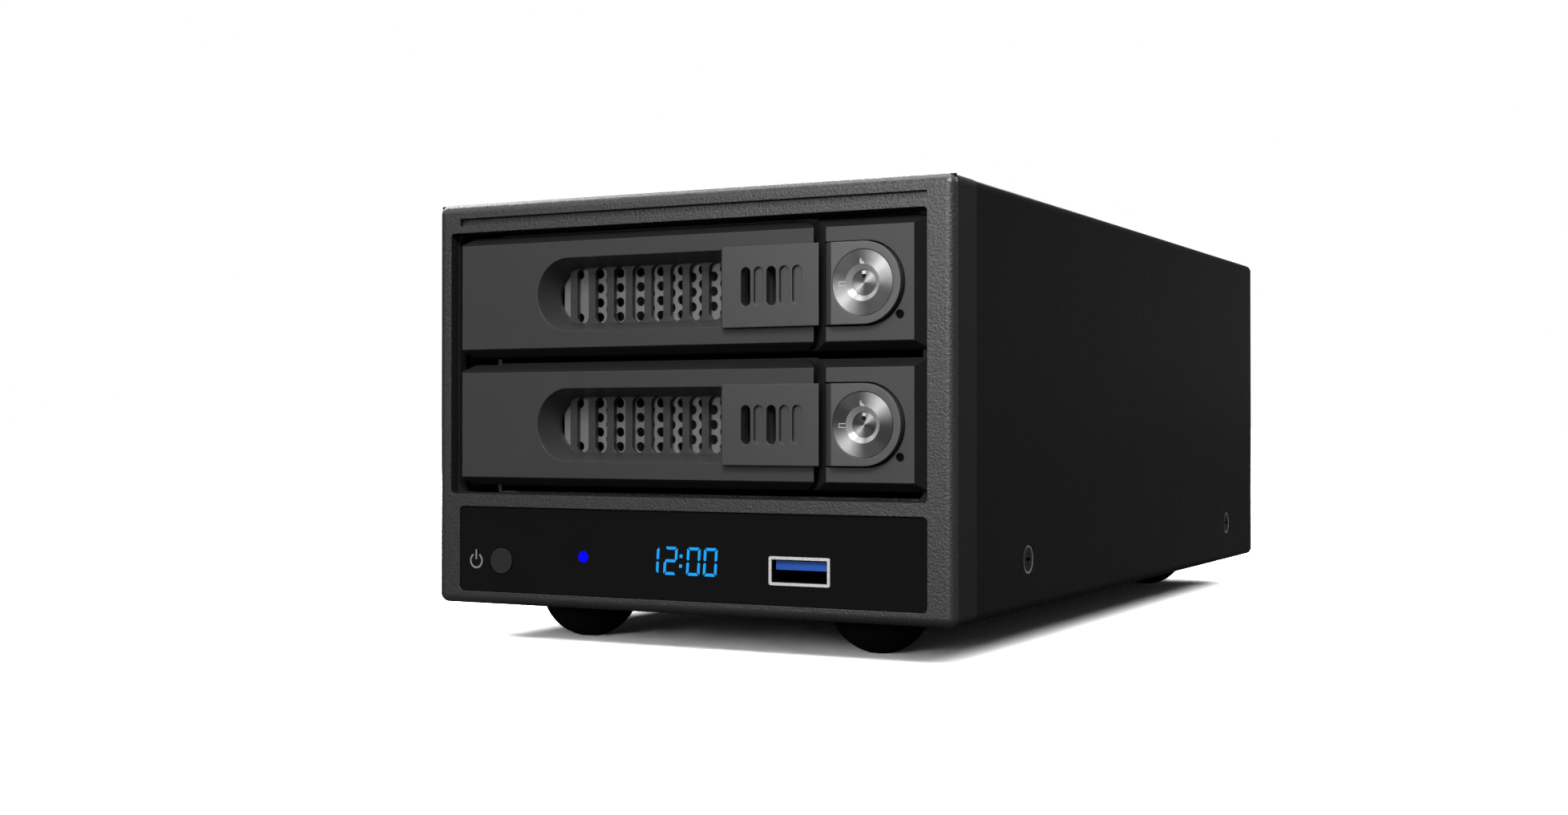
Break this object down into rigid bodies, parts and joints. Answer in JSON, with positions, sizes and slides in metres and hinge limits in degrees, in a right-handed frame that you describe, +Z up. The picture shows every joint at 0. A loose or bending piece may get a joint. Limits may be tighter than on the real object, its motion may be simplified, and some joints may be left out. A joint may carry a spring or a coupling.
{
  "type": "network attached storage",
  "caption": "Desktop two-bay network drive box: sliding drive trays with swinging latched fronts and key locks, gloss panel with clock, lamp, power button and USB socket, rear fan.",
  "frame": {"origin": "on the floor under the middle of the unit", "axes": "+X to the right as seen from the front, the front faces -Y and +Y runs to the rear, +Z up"},
  "size_m": [0.1264, 0.2452, 0.0983],
  "materials": {
    "bezel_grey": "fine matte grain",
    "tray_face_grey": "satin",
    "tray_black": "matte moulding",
    "cover_black": "smooth black paint",
    "panel_gloss": "gloss black",
    "button_grey": "matte",
    "lamp_blue": "clear blue",
    "lamp_dark": "dark clear",
    "display_dark": "dark",
    "sheet_steel": "plain sheet",
    "zinc": "zinc plated",
    "socket_metal": "bright plated",
    "usb_blue": "blue plastic",
    "black_plastic": "matte",
    "board_green": "solder mask",
    "foot_rubber": "matte rubber",
    "mesh_grey": "grey perforated sheet",
    "lock_metal": "radially brushed",
    "drive_metal": "cast, dark coated",
    "heat_sink_metal": "anodised",
    "brass_post": "turned"
  },
  "bodies": {
    "enclosure": {"front_bezel": "bezel_grey", "control_panel": "panel_gloss", "power_lamp": "lamp_blue", "display_unit": "display_dark", "usb_shell": "socket_metal", "usb_tongue": "usb_blue", "power_switch": "black_plastic", "front_board": "board_green", "front_board_screws": "zinc", "wrap_cover": "cover_black", "cover_screws": "button_grey", "bottom_chassis": "sheet_steel", "feet": "foot_rubber", "drive_cage": "sheet_steel", "backplane_board": "board_green", "backplane_sockets": "black_plastic", "main_board": "board_green", "board_standoffs": "brass_post", "board_screws": "zinc", "board_chips": "black_plastic", "heat_sink": "heat_sink_metal", "lan_socket": "socket_metal", "rear_usb_socket": "socket_metal", "video_socket": "socket_metal", "power_inlet": "black_plastic", "rear_panel": "cover_black", "fan_frame": "black_plastic", "fan_guard": "socket_metal", "fan_screws": "zinc"},
    "power_button": {"power_button": "button_grey"},
    "fan_rotor": {"fan_rotor": "black_plastic"},
    "upper_tray": {"upper_tray": "tray_black", "upper_lever_pin": "zinc", "upper_lock_block": "tray_face_grey", "upper_tray_lamp": "lamp_dark", "upper_drive": "drive_metal", "upper_drive_board": "board_green", "upper_drive_screws": "zinc"},
    "upper_lever": {"upper_lever": "tray_face_grey", "upper_grip_plate": "tray_face_grey", "upper_vent_mesh": "mesh_grey"},
    "upper_lock_button": {"upper_lock_button": "tray_face_grey", "upper_lock_disc": "lock_metal"},
    "upper_key_plug": {"upper_key_plug": "lock_metal"},
    "lower_tray": {"lower_tray": "tray_black", "lower_lever_pin": "zinc", "lower_lock_block": "tray_face_grey", "lower_tray_lamp": "lamp_dark", "lower_drive": "drive_metal", "lower_drive_board": "board_green", "lower_drive_screws": "zinc"},
    "lower_lever": {"lower_lever": "tray_face_grey", "lower_grip_plate": "tray_face_grey", "lower_vent_mesh": "mesh_grey"},
    "lower_lock_button": {"lower_lock_button": "tray_face_grey", "lower_lock_disc": "lock_metal"},
    "lower_key_plug": {"lower_key_plug": "lock_metal"}
  },
  "joints": [
    {"name": "power_button_press", "type": "slide", "parent": "enclosure", "child": "power_button", "axis": [0, 1, 0], "range_m": [0, 0.0006], "stiffness_N_per_m": 400},
    {"name": "fan_spin", "type": "hinge", "parent": "enclosure", "child": "fan_rotor", "pos_m": [0, 0.1111, 0.0638], "axis": [0, 1, 0], "continuous": true},
    {"name": "upper_tray_slide", "type": "slide", "parent": "enclosure", "child": "upper_tray", "axis": [0, -1, 0], "range_m": [0, 0.125]},
    {"name": "upper_lever_swing", "type": "hinge", "parent": "upper_tray", "child": "upper_lever", "pos_m": [-0.0502, -0.1164, 0.07705], "axis": [0, 0, -1], "range_deg": [0, 90]},
    {"name": "upper_lock_button_press", "type": "slide", "parent": "upper_tray", "child": "upper_lock_button", "axis": [0, 1, 0], "range_m": [0, 0.0014], "stiffness_N_per_m": 500},
    {"name": "upper_key_turn", "type": "hinge", "parent": "upper_lock_button", "child": "upper_key_plug", "pos_m": [0.0436, -0.1164, 0.07705], "axis": [0, -1, 0], "range_deg": [0, 90]},
    {"name": "lower_tray_slide", "type": "slide", "parent": "enclosure", "child": "lower_tray", "axis": [0, -1, 0], "range_m": [0, 0.125]},
    {"name": "lower_lever_swing", "type": "hinge", "parent": "lower_tray", "child": "lower_lever", "pos_m": [-0.0502, -0.1164, 0.04845], "axis": [0, 0, -1], "range_deg": [0, 90]},
    {"name": "lower_lock_button_press", "type": "slide", "parent": "lower_tray", "child": "lower_lock_button", "axis": [0, 1, 0], "range_m": [0, 0.0014], "stiffness_N_per_m": 500},
    {"name": "lower_key_turn", "type": "hinge", "parent": "lower_lock_button", "child": "lower_key_plug", "pos_m": [0.0436, -0.1164, 0.04845], "axis": [0, -1, 0], "range_deg": [0, 90]}
  ]
}
